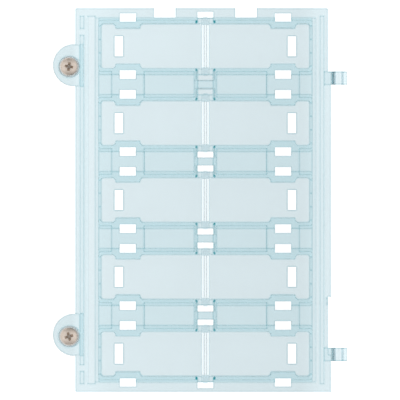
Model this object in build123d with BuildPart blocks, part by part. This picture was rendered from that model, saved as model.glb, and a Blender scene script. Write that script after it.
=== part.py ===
from build123d import *
from math import cos, radians, sin, sqrt
import os

os.makedirs("parts", exist_ok=True)

# Driving dimensions, in millimetres. +Z is up, +Y runs along the column of rows, and the
# origin is at the middle of the overall box, on the face the tray rests on.
BODY_W = 100.5          # flanged panel, side to side
BODY_L = 152.6          # flanged panel, along the column of rows
EAR_REACH = 8.7         # how far the screw ears stand out of the panel
HOOK_REACH = 7.6        # how far the hinge hooks stand out of the panel
FLANGE_T = 2.0          # edge flange
FLOOR_T = 1.6           # bay floor
CHANNEL_T = 5.0         # floor of the channels between the rows
TOP_Z = 10.0            # rim of the bays
REBATE_Z = 8.6          # step round the outside of the rim
EDGE_R = 0.35           # rounded rim
SHOULDER_R = 0.25       # rounded shoulders below the rim
FLANGE_CHAMFER = 0.25   # softened flange edges
PANEL_CORNER_R = 0.6

ROWS = 5
ROW_PITCH = 30.55
STEP_L = 87.5           # from one end step to the other
CUP_W = 22.6            # one row's cup, outside
CUP_CORNER_R = 0.9
BAY_CORNER_R = 1.0
END_WALL_T = 0.95
END_STEP_W = 1.35       # low step outside the end walls
END_STEP_Z = 2.6
ROW_WALL_T = 2.4
RIM_T = 1.25            # rim left above the rebate
STEP_INSET = 8.0        # screw side panel edge to the nearer end step

LATCH_X = 30.8          # latch windows, from the cup's middle
LATCH_Y = 11.35         # latch windows, from the row's middle
LATCH_W = 6.4
LATCH_L = 3.4
LATCH_BLOCK_W = 12.8    # block across a channel round two latch windows
BOSS_W = 9.6            # boss behind a latch window
BOSS_BULGE = 1.8        # how far a boss stands into a bay
BOSS_CHAMFER = 0.9

FLOOR_SLOT_X = 34.4
FLOOR_SLOT_W = 3.4
FLOOR_SLOT_L = 8.0

POCKET_W = 6.2          # divider pocket across the cup wall and the channel floor
POCKET_DEPTH = 4.8
POCKET_FLARE = 0.8
POCKET_BLOCK_W = 8.8    # block across a channel round two facing pockets
CORE_Z = 4.2            # hollows under the blocks
SILL_Z = 4.0            # bottom of the pocket inside the wall
GUIDE_W = 2.5           # slot in the sill that guides the divider's key
BLIND_T = 1.0           # floor left under the two closed pockets

DIVIDER_GAP = 0.15      # clearance round a divider
SEAT_GAP = 0.1          # under a divider's foot
FOOT_W = 3.5
FOOT_T = 1.0
BLADE_T = 1.1
BLADE_ROUND_R = 0.45
BLADE_TOP_Z = 9.4
TONGUE_T = 1.6          # ends of the blade, in the wall gaps
TONGUE_TOP_Z = 8.8
TONGUE_OVERRUN = 0.5    # tongue past the outside of the cup wall

END_WALL_Z = 6.0        # end walls between the bay's corners
END_NOTCH_W = 5.2       # shallow notch in each end wall
END_NOTCH_DEPTH = 1.4
DIVIDER_SLOT_W = 2.9    # opening in the floor under each divider
DIVIDER_SLOT_INSET = 0.5
FLANGE_NOTCH_X = 16.15  # open notches in one end flange, from the cup's middle
FLANGE_NOTCH_W = 8.5

RAIL_INSET = 1.9        # rail on the screw side, raised to the rim under the ears
RAIL_T = 1.6
RAIL_L = 146.2
RAIL_Z = 3.2
RAIL_NOTCH_Y = 66.8
RAIL_NOTCH_DEPTH = 1.2
NOTCH_W = 2.6           # locating notches in the rail and the lip
GUTTER_Z = 1.2          # gutter between the rail and the end step
GUTTER_INSET = 4.6
GUTTER_SLOPE = 0.5
RIB_Z = 2.6             # low rib on the hook side
RIB_INSET = 3.2
RIB_W = 1.6
LIP_W = 1.2             # lip along the hook side
LIP_SPANS = ((-38.5, 50.9), (-76.3, -61.6))
LIP_NOTCH_Y = -40.2
LIP_NOTCH_X = 0.8       # notch into the flange edge where the lip stops

EAR_R = 8.35
EAR_Y = 53.45
EAR_T = 3.0
EAR_OPEN_L = 16.0       # opening in the flange under each ear
SCREW_INSET = 2.3       # screw axis, out from the panel edge
SCREW_DY = -0.6         # screw axis, off the ear's middle
SEAT_R = 4.35
SEAT_DEPTH = 0.6
EAR_HOLE_R = 2.25

HOOK_YS = (48.4, -61.3)
HOOK_W = 5.2
HOOK_R = 3.4
HOOK_BORE_R = 2.1
HOOK_Z = 3.6
HOOK_MOUTH = 2.6
HOOK_ARM_LOW = 0.2      # arm from the panel to the hook, bottom and top
HOOK_ARM_TOP = 5.1

HEAD_D = 7.0            # M4 cross-recess pan head
HEAD_H = 2.6
HEAD_RIM_H = 1.0        # upright part of the head
THREAD_D = 4.0
THREAD_PITCH = 0.7
THREAD_DEPTH = 0.38
THREAD_TURNS = 5
CREST_W = 0.14
SCREW_L = 10.0
NECK_D = 3.0
RECESS_D = 4.3
RECESS_WING_T = 1.05
RECESS_DEPTH = 1.8
RECESS_TIP = 1.2
RECESS_CLEAR = 0.2      # recess cutter above the top of the head
SCREW_TURNS = (-10, 16)
WASHER_D = 8.2
WASHER_BORE_D = 4.3
WASHER_T = 0.8
WASHER_GAP = 0.02       # skin of air under a loose washer
WASHER_CHAMFER = 0.15
RING_D = 6.6
RING_BORE_D = 3.2
RING_T = 0.8
RING_SLIT = 1.9
RING_ROUND_R = 0.3
SCREW_PLAY = 2.4        # captive travel of the screw
PLANE_TOL = 0.01

# Worked-out positions.
X_LEFT = EAR_REACH - (EAR_REACH + BODY_W + HOOK_REACH) / 2
X_RIGHT = X_LEFT + BODY_W
BODY_X = (X_LEFT + X_RIGHT) / 2
CUP_X = X_LEFT + STEP_INSET + STEP_L / 2
CUP_L = STEP_L - 2 * END_STEP_W
BAY_L = CUP_L - 2 * END_WALL_T
BAY_W = CUP_W - 2 * ROW_WALL_T
ROW_YS = [ROW_PITCH * ((ROWS - 1) / 2 - i) for i in range(ROWS)]
BOSS_XS = (CUP_X - LATCH_X, CUP_X + LATCH_X)
BOSS_IN = BAY_W / 2 - BOSS_BULGE
CHANNEL_YS = [y - ROW_PITCH / 2 for y in ROW_YS[:-1]]
RAIL_X = X_LEFT + RAIL_INSET + RAIL_T / 2
EAR_X = X_LEFT + EAR_R - EAR_REACH
SCREW_X = X_LEFT - SCREW_INSET
SCREW_YS = (EAR_Y + SCREW_DY, -EAR_Y + SCREW_DY)
HOOK_X = X_RIGHT + HOOK_REACH - HOOK_R
HOOK_ARM = (X_RIGHT - RIB_W, HOOK_X)
BRIDGE_W = ROW_PITCH - BAY_W - 2 * POCKET_DEPTH
SEAT_Z = TOP_Z - SEAT_DEPTH
WASHER_Z = SEAT_Z + WASHER_GAP
HEAD_Z = WASHER_Z + WASHER_T
DOME_R = (HEAD_D**2 / 4 + (HEAD_H - HEAD_RIM_H) ** 2) / (2 * (HEAD_H - HEAD_RIM_H))
TIP_Z = HEAD_Z - SCREW_L
RING_Z = TOP_Z - EAR_T - SCREW_PLAY - RING_T
FOOT_Z = FLOOR_T + SEAT_GAP

with BuildPart() as tray:
    # Base panel with its lip.
    with BuildSketch(Plane.XY):
        with Locations((BODY_X, 0)):
            RectangleRounded(BODY_W, BODY_L, PANEL_CORNER_R)
        for low, high in LIP_SPANS:
            with Locations((X_RIGHT, (low + high) / 2)):
                Rectangle(2 * LIP_W, high - low)
    extrude(amount=FLANGE_T)
    # End steps and channel floors, then the five cups with a rebate along their long walls.
    with BuildSketch(Plane.XY):
        with Locations((CUP_X, 0)):
            Rectangle(STEP_L, ROW_PITCH * (ROWS - 1) + CUP_W)
    extrude(amount=END_STEP_Z)
    with BuildSketch(Plane.XY):
        with Locations((CUP_X, 0)):
            Rectangle(CUP_L, ROW_PITCH * (ROWS - 1))
    extrude(amount=CHANNEL_T)
    with BuildSketch(Plane.XY):
        with Locations([(CUP_X, y) for y in ROW_YS]):
            RectangleRounded(CUP_L, CUP_W, CUP_CORNER_R)
    extrude(amount=REBATE_Z)
    with BuildSketch(Plane.XY):
        with Locations([(CUP_X, y) for y in ROW_YS]):
            RectangleRounded(CUP_L, BAY_W + 2 * RIM_T, CUP_CORNER_R)
    extrude(amount=TOP_Z)
    # Blocks across the channels, round the latch windows and the divider pockets.
    with BuildSketch(Plane.XY):
        with Locations([(x, y) for x in BOSS_XS for y in CHANNEL_YS]):
            Rectangle(LATCH_BLOCK_W, ROW_PITCH - BAY_W)
        with Locations([(CUP_X, y) for y in CHANNEL_YS]):
            Rectangle(POCKET_BLOCK_W, ROW_PITCH - BAY_W)
    extrude(amount=TOP_Z)
    # Bays, left full round the bosses that stand into them.
    with BuildSketch(Plane.XY.offset(FLOOR_T)):
        with Locations([(CUP_X, y) for y in ROW_YS]):
            RectangleRounded(BAY_L, BAY_W, BAY_CORNER_R)
        for y in ROW_YS:
            for x in BOSS_XS:
                for side in (1, -1):
                    with BuildLine():
                        Polyline(
                            (x - BOSS_W / 2 - BOSS_CHAMFER, y + side * BAY_W / 2),
                            (x - BOSS_W / 2, y + side * (BAY_W / 2 - BOSS_CHAMFER)),
                            (x - BOSS_W / 2, y + side * BOSS_IN),
                            (x + BOSS_W / 2, y + side * BOSS_IN),
                            (x + BOSS_W / 2, y + side * (BAY_W / 2 - BOSS_CHAMFER)),
                            (x + BOSS_W / 2 + BOSS_CHAMFER, y + side * BAY_W / 2),
                            close=True,
                        )
                    make_face(mode=Mode.SUBTRACT)
    extrude(amount=TOP_Z, mode=Mode.SUBTRACT)
    # Rail and gutter on the screw side, low rib on the hook side.
    with BuildSketch(Plane.XY):
        with Locations((RAIL_X, 0)):
            Rectangle(RAIL_T, RAIL_L)
    extrude(amount=RAIL_Z)
    with BuildSketch(Plane.XZ.offset(-RAIL_L / 2)):
        with BuildLine():
            Polyline(
                (X_LEFT + GUTTER_INSET, FLANGE_T),
                (X_LEFT + GUTTER_INSET + GUTTER_SLOPE, GUTTER_Z),
                (X_LEFT + STEP_INSET, GUTTER_Z),
                (X_LEFT + STEP_INSET, FLANGE_T),
                close=True,
            )
        make_face()
    extrude(amount=RAIL_L, mode=Mode.SUBTRACT)
    with BuildSketch(Plane.XY):
        with Locations((X_RIGHT - RIB_INSET + RIB_W / 2, 0)):
            Rectangle(RIB_W, RAIL_L)
    extrude(amount=RIB_Z)
    # Screw ears, flush with the rim, on webs that stand on the rail.
    with BuildSketch(Plane.XY):
        with Locations((RAIL_X, EAR_Y), (RAIL_X, -EAR_Y)):
            Rectangle(RAIL_T, 2 * EAR_R)
    extrude(amount=TOP_Z)
    with BuildSketch(Plane.XY.offset(TOP_Z - EAR_T)):
        with Locations((EAR_X, EAR_Y), (EAR_X, -EAR_Y)):
            Circle(EAR_R)
        with Locations((RAIL_X - RAIL_T / 2 + EAR_R, 0)):
            Rectangle(2 * EAR_R, BODY_L, mode=Mode.SUBTRACT)
    extrude(amount=EAR_T)
    # The flange is open under the ears, as the mould needs.
    with BuildSketch(Plane.XY):
        with Locations((X_LEFT, EAR_Y), (X_LEFT, -EAR_Y)):
            Rectangle(2 * RAIL_INSET, EAR_OPEN_L)
    extrude(amount=FLANGE_T, mode=Mode.SUBTRACT)
    with BuildSketch(Plane.XY.offset(SEAT_Z)):
        with Locations([(SCREW_X, y) for y in SCREW_YS]):
            Circle(SEAT_R)
    extrude(amount=SEAT_DEPTH, mode=Mode.SUBTRACT)
    with BuildSketch(Plane.XY.offset(FLANGE_T)):
        with Locations([(SCREW_X, y) for y in SCREW_YS]):
            Circle(EAR_HOLE_R)
    extrude(amount=TOP_Z, mode=Mode.SUBTRACT)
    # Snap hooks for a hinge rod, mouths down.
    for y in HOOK_YS:
        with BuildSketch(Plane.XZ.offset(-y - HOOK_W / 2)):
            with Locations((HOOK_X, HOOK_Z)):
                Circle(HOOK_R)
            with Locations((sum(HOOK_ARM) / 2, (HOOK_ARM_LOW + HOOK_ARM_TOP) / 2)):
                Rectangle(HOOK_ARM[1] - HOOK_ARM[0], HOOK_ARM_TOP - HOOK_ARM_LOW)
            with Locations((HOOK_X, HOOK_Z)):
                Circle(HOOK_BORE_R, mode=Mode.SUBTRACT)
            with Locations((HOOK_X, HOOK_Z - HOOK_R)):
                Rectangle(HOOK_MOUTH, 2 * (HOOK_R - HOOK_BORE_R / 2), mode=Mode.SUBTRACT)
        extrude(amount=HOOK_W)
    # Hollows under the blocks, so that the moulding has no thick lumps.
    with BuildSketch(Plane.XY):
        with Locations([(x, y) for x in BOSS_XS for y in CHANNEL_YS]):
            Rectangle(LATCH_BLOCK_W, ROW_PITCH - CUP_W)
        with Locations([(CUP_X, y) for y in CHANNEL_YS]):
            Rectangle(POCKET_W, BRIDGE_W)
    extrude(amount=CORE_Z, mode=Mode.SUBTRACT)
    # Windows and slots that go right through.
    with BuildSketch(Plane.XY):
        for y in ROW_YS:
            for x in BOSS_XS:
                with Locations((x, y + LATCH_Y), (x, y - LATCH_Y)):
                    Rectangle(LATCH_W, LATCH_L)
            with Locations((CUP_X - FLOOR_SLOT_X, y), (CUP_X + FLOOR_SLOT_X, y)):
                Rectangle(FLOOR_SLOT_W, FLOOR_SLOT_L)
            with Locations((CUP_X, y)):
                Rectangle(DIVIDER_SLOT_W, BAY_W - 2 * DIVIDER_SLOT_INSET)
        for side in (1, -1):
            with Locations((CUP_X + side * FLANGE_NOTCH_X, BODY_L / 2)):
                Rectangle(FLANGE_NOTCH_W, BODY_L - 2 * ROW_YS[0] - CUP_W)
    extrude(amount=TOP_Z, mode=Mode.SUBTRACT)
    # Divider pockets: a flared gap in the wall, a keyed sill and a well in the channel.
    for row, y in enumerate(ROW_YS):
        for side in (1, -1):
            face = y + side * BAY_W / 2
            closed = (row, side) in ((0, -1), (1, 1))
            with BuildSketch(Plane.XY.offset(SILL_Z)):
                with Locations((CUP_X, face + side * POCKET_FLARE / 2)):
                    Rectangle(POCKET_W + 2 * POCKET_FLARE, POCKET_FLARE)
                for flank in (1, -1):
                    flare_x = CUP_X + flank * (POCKET_W / 2 + POCKET_FLARE)
                    with Locations((flare_x, face + side * POCKET_FLARE)):
                        Circle(POCKET_FLARE, mode=Mode.SUBTRACT)
                with Locations((CUP_X, face + side * POCKET_DEPTH / 2)):
                    Rectangle(POCKET_W, POCKET_DEPTH)
            extrude(amount=TOP_Z, mode=Mode.SUBTRACT)
            with BuildSketch(Plane.XY.offset(FLOOR_T)):
                with Locations((CUP_X, face + side * ROW_WALL_T / 2)):
                    Rectangle(GUIDE_W, ROW_WALL_T)
            extrude(amount=TOP_Z, mode=Mode.SUBTRACT)
            with BuildSketch(Plane.XY.offset(BLIND_T if closed else 0)):
                with Locations((CUP_X, face + side * (ROW_WALL_T + POCKET_DEPTH) / 2)):
                    Rectangle(POCKET_W, POCKET_DEPTH - ROW_WALL_T)
            extrude(amount=TOP_Z, mode=Mode.SUBTRACT)
    # End walls, lower between the corners, and shallow notches in them, the rail and the
    # flange edge where the lip stops.
    end_walls = [(CUP_X + side * (CUP_L - END_WALL_T) / 2, y) for y in ROW_YS for side in (1, -1)]
    with BuildSketch(Plane.XY.offset(END_WALL_Z)):
        with Locations(end_walls):
            Rectangle(END_WALL_T, BAY_W - 2 * BAY_CORNER_R)
    extrude(amount=TOP_Z, mode=Mode.SUBTRACT)
    with BuildSketch(Plane.XY.offset(END_WALL_Z - END_NOTCH_DEPTH)):
        with Locations(end_walls):
            Rectangle(END_WALL_T, END_NOTCH_W)
    extrude(amount=TOP_Z, mode=Mode.SUBTRACT)
    with BuildSketch(Plane.XY.offset(RAIL_Z - RAIL_NOTCH_DEPTH)):
        with Locations((RAIL_X, RAIL_NOTCH_Y), (RAIL_X, -RAIL_NOTCH_Y)):
            Rectangle(RAIL_T, NOTCH_W)
    extrude(amount=TOP_Z, mode=Mode.SUBTRACT)
    with BuildSketch(Plane.XY.offset(FLANGE_T / 2)):
        with Locations((X_RIGHT - LIP_NOTCH_X / 2, LIP_NOTCH_Y)):
            Rectangle(LIP_NOTCH_X, NOTCH_W)
    extrude(amount=TOP_Z, mode=Mode.SUBTRACT)

    # Softened edges: the rim, the shoulders of the long walls, the end steps and the flange.
    fillet(tray.edges().filter_by_position(Axis.Z, TOP_Z - PLANE_TOL, TOP_Z + PLANE_TOL), EDGE_R)
    shoulders = tray.edges().filter_by_position(Axis.Z, REBATE_Z - PLANE_TOL, REBATE_Z + PLANE_TOL)
    wall_ys = [y + side * CUP_W / 2 for y in ROW_YS for side in (1, -1)]
    fillet(
        shoulders.filter_by(Axis.X).filter_by(
            lambda edge: min(abs(edge.center().Y - y) for y in wall_ys) < PLANE_TOL
        ),
        SHOULDER_R,
    )
    steps = tray.edges().filter_by_position(Axis.Z, END_STEP_Z - PLANE_TOL, END_STEP_Z + PLANE_TOL)
    fillet(
        steps.filter_by(lambda edge: abs(abs(edge.center().X - CUP_X) - STEP_L / 2) < PLANE_TOL),
        SHOULDER_R,
    )
    flange = tray.edges().filter_by_position(Axis.Z, FLANGE_T - PLANE_TOL, FLANGE_T + PLANE_TOL)
    chamfer(flange, FLANGE_CHAMFER)
tray.part.label = "tray"
export_step(tray.part, "parts/tray.step")

# Row dividers: a thin blade on a foot, with a tongue and a key at both ends.
for row, y in enumerate(ROW_YS, start=1):
    with BuildPart() as divider:
        with BuildSketch(Plane.XY.offset(FOOT_Z)):
            with Locations((CUP_X, y)):
                Rectangle(BLADE_T, BAY_W - 2 * DIVIDER_GAP)
        extrude(amount=BLADE_TOP_Z - FOOT_Z)
        with BuildSketch(Plane.XY.offset(FOOT_Z)):
            with Locations((CUP_X, y)):
                Rectangle(FOOT_W, BAY_W - 2 * DIVIDER_GAP)
        extrude(amount=FOOT_T)
        with BuildSketch(Plane.XY.offset(SILL_Z)):
            with Locations((CUP_X, y)):
                Rectangle(TONGUE_T, CUP_W + 2 * TONGUE_OVERRUN)
        extrude(amount=TONGUE_TOP_Z - SILL_Z)
        with BuildSketch(Plane.XY.offset(FOOT_Z)):
            with Locations((CUP_X, y)):
                Rectangle(GUIDE_W - 2 * DIVIDER_GAP, CUP_W)
        extrude(amount=SILL_Z - FOOT_Z)
        top = divider.edges().filter_by(Axis.Y).filter_by_position(
            Axis.Z, BLADE_TOP_Z - PLANE_TOL, BLADE_TOP_Z + PLANE_TOL
        )
        fillet(top, BLADE_ROUND_R)
    divider.part.label = f"divider_{row}"
    export_step(divider.part, f"parts/divider_{row}.step")

# Captive screws, each with its washer and the ring that keeps it in the ear.
for name, y, turn in zip(("upper", "lower"), SCREW_YS, SCREW_TURNS):
    with BuildPart() as screw:
        with BuildSketch(Plane.XZ.offset(-y)):
            with BuildLine():
                profile = [(SCREW_X, TIP_Z), (SCREW_X + THREAD_D / 2 - THREAD_DEPTH, TIP_Z)]
                for turn_no in range(THREAD_TURNS):
                    crest_z = TIP_Z + THREAD_PITCH * (turn_no + 0.5)
                    profile += [
                        (SCREW_X + THREAD_D / 2, crest_z - CREST_W / 2),
                        (SCREW_X + THREAD_D / 2, crest_z + CREST_W / 2),
                        (SCREW_X + THREAD_D / 2 - THREAD_DEPTH, crest_z + THREAD_PITCH / 2),
                    ]
                profile += [
                    (SCREW_X + THREAD_D / 2 - THREAD_DEPTH, RING_Z),
                    (SCREW_X + NECK_D / 2, RING_Z),
                    (SCREW_X + NECK_D / 2, HEAD_Z),
                    (SCREW_X + HEAD_D / 2 - EDGE_R, HEAD_Z),
                    (SCREW_X + HEAD_D / 2, HEAD_Z + EDGE_R),
                    (SCREW_X + HEAD_D / 2, HEAD_Z + HEAD_RIM_H),
                ]
                Polyline(*profile)
                ThreePointArc(
                    (SCREW_X + HEAD_D / 2, HEAD_Z + HEAD_RIM_H),
                    (SCREW_X + HEAD_D / 4, HEAD_Z + HEAD_H - DOME_R + sqrt(DOME_R**2 - HEAD_D**2 / 16)),
                    (SCREW_X, HEAD_Z + HEAD_H),
                )
                Line((SCREW_X, HEAD_Z + HEAD_H), (SCREW_X, TIP_Z))
            make_face()
        revolve(axis=Axis((SCREW_X, y, 0), (0, 0, 1)))
        # Cross recess: two tapered wings meeting in a point.
        for wing in (turn, turn + 90):
            with BuildSketch(Plane(
                (SCREW_X, y, HEAD_Z + HEAD_H + RECESS_CLEAR),
                x_dir=(cos(radians(wing)), sin(radians(wing)), 0),
                z_dir=(sin(radians(wing)), -cos(radians(wing)), 0),
            )):
                with BuildLine():
                    Polyline(
                        (-RECESS_D / 2, 0),
                        (RECESS_D / 2, 0),
                        (RECESS_TIP / 2, -RECESS_DEPTH - RECESS_CLEAR),
                        (-RECESS_TIP / 2, -RECESS_DEPTH - RECESS_CLEAR),
                        close=True,
                    )
                make_face()
            extrude(amount=RECESS_WING_T / 2, both=True, mode=Mode.SUBTRACT)
    screw.part.label = f"screw_{name}"
    export_step(screw.part, f"parts/screw_{name}.step")

    with BuildPart() as washer:
        with BuildSketch(Plane.XY.offset(WASHER_Z)):
            with Locations((SCREW_X, y)):
                Circle(WASHER_D / 2)
                Circle(WASHER_BORE_D / 2, mode=Mode.SUBTRACT)
        extrude(amount=WASHER_T)
        chamfer(washer.edges().filter_by(GeomType.CIRCLE).group_by(SortBy.LENGTH)[-1], WASHER_CHAMFER)
    washer.part.label = f"washer_{name}"
    export_step(washer.part, f"parts/washer_{name}.step")

    with BuildPart() as ring:
        with BuildSketch(Plane.XY.offset(RING_Z)):
            with Locations((SCREW_X, y)):
                Circle(RING_D / 2)
                Circle(RING_BORE_D / 2, mode=Mode.SUBTRACT)
            with Locations((SCREW_X - RING_D / 2, y)):
                Rectangle(RING_D, RING_SLIT, mode=Mode.SUBTRACT)
        extrude(amount=RING_T)
        fillet(ring.edges().filter_by(Axis.Z), RING_ROUND_R)
    ring.part.label = f"retaining_ring_{name}"
    export_step(ring.part, f"parts/retaining_ring_{name}.step")
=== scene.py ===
import bpy
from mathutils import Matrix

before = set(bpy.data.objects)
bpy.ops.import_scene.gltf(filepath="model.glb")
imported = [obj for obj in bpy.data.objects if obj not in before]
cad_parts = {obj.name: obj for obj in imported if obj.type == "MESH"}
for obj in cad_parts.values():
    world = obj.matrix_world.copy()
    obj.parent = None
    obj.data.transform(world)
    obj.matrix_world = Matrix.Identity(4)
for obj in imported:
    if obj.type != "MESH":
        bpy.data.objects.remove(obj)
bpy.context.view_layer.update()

# Camera and floor, in metres. The picture looks straight down, with +Y at its top.
VIEW_WIDTH = 0.1591         # floor seen across the picture
CAMERA_HEIGHT = 3.0
CAMERA_X = -0.0001
CAMERA_CLIP = 0.01
SENSOR_MM = 36.0
FLOOR_SIZE = 6.0
FLOOR_Z = -0.0003

# Light. The floor glows like a light table, a little brighter towards its sides and its +Y
# end, and the sky is dim overhead, where the camera stands, and low along the tray.
FLOOR_GREY = 0.25
FLOOR_GLOW = 1.14
GLOW_ACROSS = (
    (-0.051, 0.9), (-0.049, 1.0), (-0.043, 1.0), (-0.034, 0.95),
    (0.0, 0.92), (0.04, 0.88), (0.048, 0.97),
)
GLOW_ALONG = ((-0.075, 0.965), (0.0, 0.965), (0.075, 1.0))
SKY_STEPS = ((0.0, 0.55), (0.25, 1.0), (0.8, 1.0), (0.97, 0.35), (1.0, 0.3))
SKY_END = 0.45              # strength of the sky low at both ends of the tray
SKY_END_FROM = 0.2          # where it starts to fall, as the square of the direction's y

# Fine detail, as noise scales for metres.
FLOW_SCALE = 45.0           # slow tint of the moulding
HAZE_SCALE = 260.0          # handling haze
GRAIN_SCALE = 1600.0        # skin of the mould
PLATE_SCALE = 900.0         # nickel: colour, sheen and relief
PLATE_SHEEN_SCALE = 1500.0
PLATE_GRAIN_SCALE = 2500.0
NYLON_SCALE = 500.0         # nylon: the same three
NYLON_SHEEN_SCALE = 700.0
NYLON_GRAIN_SCALE = 2000.0

# Relief, worn edges and how far the painted shade in hollows reaches, in metres.
MOULD_RELIEF = 0.000004
SKIN_RELIEF = 0.00001
WORN_EDGE = 0.0002
PLATE_SHADE_REACH = 0.0008
NYLON_SHADE_REACH = 0.0003

# Refraction.
AQUA_BEND = 1.58
DIVIDER_BEND = 1.5
NYLON_BEND = 1.53
LIGHT_BOUNCES = 24

# Where the rims of the divider pockets' side walls are, across the tray and up from its base; painted shade
# lines darken them.
POCKET_SIDES = (
    (-0.0021, 0.0), (-0.0018, 1.0), (-0.0009, 1.0), (-0.0006, 0.0),
    (0.0047, 0.0), (0.005, 1.0), (0.0059, 1.0), (0.0062, 0.0),
)
POCKET_UP = ((0.0086, 0.0), (0.0094, 1.0))
# How heavy the painted shade on those rims is, by distance from the middle of a row: most at the flared
# corners.
HALF_PITCH = 0.015275
POCKET_WEIGHT = ((0.0084, 0.0), (0.0087, 1.0), (0.0096, 1.0), (0.0104, 0.36), (0.0139, 0.36), (0.0141, 0.0))
# Where the floor slots under the dividers are. Their edges are kept free of the painted shade lines.
SLOT_ACROSS = ((-0.0004, 0.0), (0.0, 1.0), (0.0041, 1.0), (0.0045, 0.0))
SLOT_UP = ((0.003, 1.0), (0.0036, 0.0))
SLOT_ALONG = ((0.0108, 1.0), (0.0112, 0.0))


def add(tree, kind, **inputs):
    """A new node with the named inputs set."""
    made = tree.nodes.new(kind)
    for name, value in inputs.items():
        made.inputs[name.replace("_", " ")].default_value = value
    return made


def ramped(tree, socket, low, high, out_low, out_high):
    """A socket moved from one range to another."""
    ramp = tree.nodes.new("ShaderNodeMapRange")
    for name, value in (("From Min", low), ("From Max", high), ("To Min", out_low), ("To Max", out_high)):
        ramp.inputs[name].default_value = value
    tree.links.new(socket, ramp.inputs["Value"])
    return ramp.outputs["Result"]


def stepped(tree, socket, steps):
    """A grey that follows (value, grey) steps of a socket."""
    low, high = steps[0][0], steps[-1][0]
    made = tree.nodes.new("ShaderNodeValToRGB")
    ramp = made.color_ramp
    while len(ramp.elements) < len(steps):
        ramp.elements.new(1.0)
    for element, (value, grey) in zip(ramp.elements, steps):
        element.position = (value - low) / (high - low)
        element.color = (grey, grey, grey, 1.0)
    tree.links.new(ramped(tree, socket, low, high, 0.0, 1.0), made.inputs["Fac"])
    return made.outputs["Color"]


def multiplied(tree, first, second):
    times = tree.nodes.new("ShaderNodeMath")
    times.operation = "MULTIPLY"
    for end, factor in zip(times.inputs, (first, second)):
        if isinstance(factor, float):
            end.default_value = factor
        else:
            tree.links.new(factor, end)
    return times.outputs["Value"]


def folded(tree, socket, half):
    """The distance from the nearest of a row of evenly spaced middles."""
    fold = tree.nodes.new("ShaderNodeMath")
    fold.operation = "PINGPONG"
    tree.links.new(socket, fold.inputs[0])
    fold.inputs[1].default_value = half
    return fold.outputs["Value"]


def axes(tree, kind):
    """The x, y and z of a texture coordinate."""
    where = tree.nodes.new("ShaderNodeTexCoord")
    split = tree.nodes.new("ShaderNodeSeparateXYZ")
    tree.links.new(where.outputs[kind], split.inputs["Vector"])
    return split.outputs


def noise(tree, scale, detail):
    """Noise fixed to the piece."""
    where = tree.nodes.new("ShaderNodeTexCoord")
    made = add(tree, "ShaderNodeTexNoise", Scale=scale, Detail=detail)
    tree.links.new(where.outputs["Object"], made.inputs["Vector"])
    return made.outputs["Fac"]


def mixed(tree, factor, first, second):
    """A colour between two others, each a socket or three numbers."""
    blend = tree.nodes.new("ShaderNodeMix")
    blend.data_type = "RGBA"
    tree.links.new(factor, blend.inputs["Factor"])
    for end, colour in ((blend.inputs["A"], first), (blend.inputs["B"], second)):
        if isinstance(colour, tuple):
            end.default_value = (*colour, 1.0)
        else:
            tree.links.new(colour, end)
    return blend.outputs["Result"]


def corner_mask(tree, distance, inside):
    """1 in the corners of the piece and 0 away from them; inside takes its outer edges."""
    hollow = tree.nodes.new("ShaderNodeAmbientOcclusion")
    hollow.samples = 4
    hollow.inside = inside
    hollow.only_local = True
    if isinstance(distance, float):
        hollow.inputs["Distance"].default_value = distance
    else:
        tree.links.new(distance, hollow.inputs["Distance"])
    return ramped(tree, hollow.outputs["AO"], 0.5, 0.9, 1.0, 0.0)


def bumped(tree, shader, height, distance):
    """Fine relief."""
    bump = add(tree, "ShaderNodeBump", Distance=distance, Strength=1.0)
    tree.links.new(height, bump.inputs["Height"])
    tree.links.new(bump.outputs["Normal"], shader.inputs["Normal"])


def new_material(name):
    made = bpy.data.materials.new(name)
    made.use_nodes = True
    return made, made.node_tree, made.node_tree.nodes["Principled BSDF"]


def clear_plastic(name, tint, edge_shade_colour, pocket_rim_shade, edge, bend, absorb, density):
    """Clear moulded plastic, tinted in its depth, with painted shade lines along its edges and in its
    creases, darkest at the pocket rims.

    The painted rim shade, and the floor slots kept free of it, are placed by position on the tray.
    """
    made, tree, shader = new_material(name)
    shader.inputs["IOR"].default_value = bend
    shader.inputs["Transmission Weight"].default_value = 1.0
    pale = tuple(min(1.0, part * 1.03) for part in tint)
    body = mixed(tree, noise(tree, FLOW_SCALE, 2.0), tint, pale)
    place = axes(tree, "Object")
    across = stepped(tree, place["X"], POCKET_SIDES)
    at_pocket = multiplied(tree, across, stepped(tree, place["Z"], POCKET_UP))
    # The colour of the painted shade lines, darkest at the pocket rims.
    line = mixed(tree, at_pocket, edge_shade_colour, pocket_rim_shade)
    from_row = folded(tree, place["Y"], HALF_PITCH)
    weight = stepped(tree, from_row, POCKET_WEIGHT)
    reach = ramped(tree, multiplied(tree, at_pocket, weight), 0.0, 1.0, edge, 3 * edge)
    low_down = multiplied(tree, stepped(tree, place["Z"], SLOT_UP), stepped(tree, from_row, SLOT_ALONG))
    at_slot = multiplied(tree, stepped(tree, place["X"], SLOT_ACROSS), low_down)
    away = ramped(tree, at_slot, 0.0, 1.0, 1.0, 0.0)
    # Painted shade: darker lines along outer edges and in creases, kept off the floor slots.
    edged = mixed(tree, multiplied(tree, away, corner_mask(tree, reach, True)), body, line)
    lined = mixed(tree, multiplied(tree, away, corner_mask(tree, edge, False)), edged, line)
    tree.links.new(lined, shader.inputs["Base Color"])
    haze = noise(tree, HAZE_SCALE, 4.0)
    tree.links.new(ramped(tree, haze, 0.45, 0.75, 0.0, 0.05), shader.inputs["Roughness"])
    bumped(tree, shader, noise(tree, GRAIN_SCALE, 2.0), MOULD_RELIEF)
    depth = add(tree, "ShaderNodeVolumeAbsorption", Color=(*absorb, 1.0), Density=density)
    tree.links.new(depth.outputs["Volume"], tree.nodes["Material Output"].inputs["Volume"])
    return made


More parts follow.
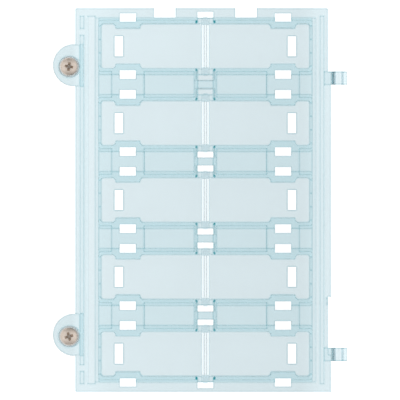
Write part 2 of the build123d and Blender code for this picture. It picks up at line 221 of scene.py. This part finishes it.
def nickel_plate(name, colour, worn):
    """Nickel plate, with painted shade in its inside corners and brighter where its edges are worn."""
    made, tree, shader = new_material(name)
    shader.inputs["Metallic"].default_value = 1.0
    dull = tuple(part * 0.7 for part in colour)
    body = mixed(tree, noise(tree, PLATE_SCALE, 4.0), dull, colour)
    edged = mixed(tree, corner_mask(tree, WORN_EDGE, True), body, worn)
    # Painted shade: the plate is darkened in its inside corners.
    painted_hollow_shade = tuple(part * 0.8 for part in colour)
    hollows = corner_mask(tree, PLATE_SHADE_REACH, False)
    tree.links.new(mixed(tree, hollows, edged, painted_hollow_shade), shader.inputs["Base Color"])
    sheen = noise(tree, PLATE_SHEEN_SCALE, 3.0)
    tree.links.new(ramped(tree, sheen, 0.3, 0.7, 0.22, 0.42), shader.inputs["Roughness"])
    bumped(tree, shader, noise(tree, PLATE_GRAIN_SCALE, 3.0), SKIN_RELIEF)
    return made


def milky_nylon(name, colour):
    """Natural nylon: milky, with a matt skin and faint painted shade in its hollows."""
    made, tree, shader = new_material(name)
    shader.inputs["IOR"].default_value = NYLON_BEND
    shader.inputs["Transmission Weight"].default_value = 0.8
    # A slightly darker grey: random tone of the nylon, and painted shade in its inside corners.
    tone_and_hollow_shade = tuple(part * 0.97 for part in colour)
    body = mixed(tree, noise(tree, NYLON_SCALE, 3.0), tone_and_hollow_shade, colour)
    # Painted shade: a little darker in its inside corners.
    hollows = corner_mask(tree, NYLON_SHADE_REACH, False)
    tree.links.new(mixed(tree, hollows, body, tone_and_hollow_shade), shader.inputs["Base Color"])
    sheen = noise(tree, NYLON_SHEEN_SCALE, 2.0)
    tree.links.new(ramped(tree, sheen, 0.3, 0.7, 0.3, 0.45), shader.inputs["Roughness"])
    bumped(tree, shader, noise(tree, NYLON_GRAIN_SCALE, 2.0), SKIN_RELIEF)
    return made


def finish_nodes():
    """Give every CAD node its material."""
    # For each plastic, the second and third colours are painted shade lines at its edges and pocket rims.
    aqua = clear_plastic(
        "aqua_polycarbonate", (0.705, 0.785, 0.815), (0.20, 0.42, 0.48), (0.0, 0.12, 0.16), 0.0006,
        AQUA_BEND, (0.155, 0.678, 0.768), 32.0,
    )
    clear = clear_plastic(
        "clear_divider", (0.86, 0.93, 0.95), (0.8, 0.91, 0.94), (0.8, 0.91, 0.94), 0.0002,
        DIVIDER_BEND, (0.4, 0.8, 0.88), 5.0,
    )
    nickel = nickel_plate("nickel", (0.84, 0.73, 0.64), (0.92, 0.85, 0.78))
    nylon = milky_nylon("nylon", (1.0, 1.0, 1.0))
    finishes = {"tray": aqua, "divider": clear, "screw": nickel, "washer": nylon, "retaining": nylon}
    for name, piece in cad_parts.items():
        material = finishes[name.split("_")[0]]
        piece.data.materials.clear()
        piece.data.materials.append(material)


def lay_floor():
    """A plain pale floor that glows a little."""
    half = FLOOR_SIZE / 2
    mesh = bpy.data.meshes.new("floor")
    outline = ((-half, -half), (half, -half), (half, half), (-half, half))
    corners = [(x, y, FLOOR_Z) for x, y in outline]
    mesh.from_pydata(corners, [], [(0, 1, 2, 3)])
    floor = bpy.data.objects.new("floor", mesh)
    bpy.context.scene.collection.objects.link(floor)
    made, tree, shader = new_material("pale_floor")
    shader.inputs["Base Color"].default_value = (FLOOR_GREY, FLOOR_GREY, FLOOR_GREY, 1.0)
    shader.inputs["Specular IOR Level"].default_value = 0.0
    shader.inputs["Roughness"].default_value = 0.9
    shader.inputs["Emission Color"].default_value = (1.0, 1.0, 1.0, 1.0)
    place = axes(tree, "Object")
    glow = multiplied(tree, stepped(tree, place["X"], GLOW_ACROSS), stepped(tree, place["Y"], GLOW_ALONG))
    tree.links.new(multiplied(tree, glow, FLOOR_GLOW), shader.inputs["Emission Strength"])
    mesh.materials.append(made)


def light_sky():
    """Soft light from all round, dim straight overhead and low at both ends of the tray."""
    world = bpy.data.worlds.new("studio")
    bpy.context.scene.world = world
    world.use_nodes = True
    tree = world.node_tree
    way = axes(tree, "Generated")
    along = multiplied(tree, way["Y"], way["Y"])
    background = tree.nodes["Background"]
    tree.links.new(stepped(tree, way["Z"], SKY_STEPS), background.inputs["Color"])
    tree.links.new(ramped(tree, along, SKY_END_FROM, 1.0, 1.0, SKY_END), background.inputs["Strength"])


def place_camera():
    camera = bpy.data.cameras.new("camera")
    camera.sensor_width = SENSOR_MM
    camera.lens = SENSOR_MM * CAMERA_HEIGHT / VIEW_WIDTH
    camera.clip_start = CAMERA_CLIP
    stand = bpy.data.objects.new("camera", camera)
    stand.location = (CAMERA_X, 0.0, CAMERA_HEIGHT)
    bpy.context.scene.collection.objects.link(stand)
    bpy.context.scene.camera = stand


def set_light_paths():
    scene = bpy.context.scene
    scene.view_settings.view_transform = "Standard"
    scene.cycles.max_bounces = LIGHT_BOUNCES
    scene.cycles.transmission_bounces = LIGHT_BOUNCES
    scene.cycles.transparent_max_bounces = LIGHT_BOUNCES


finish_nodes()
lay_floor()
light_sky()
place_camera()
set_light_paths()
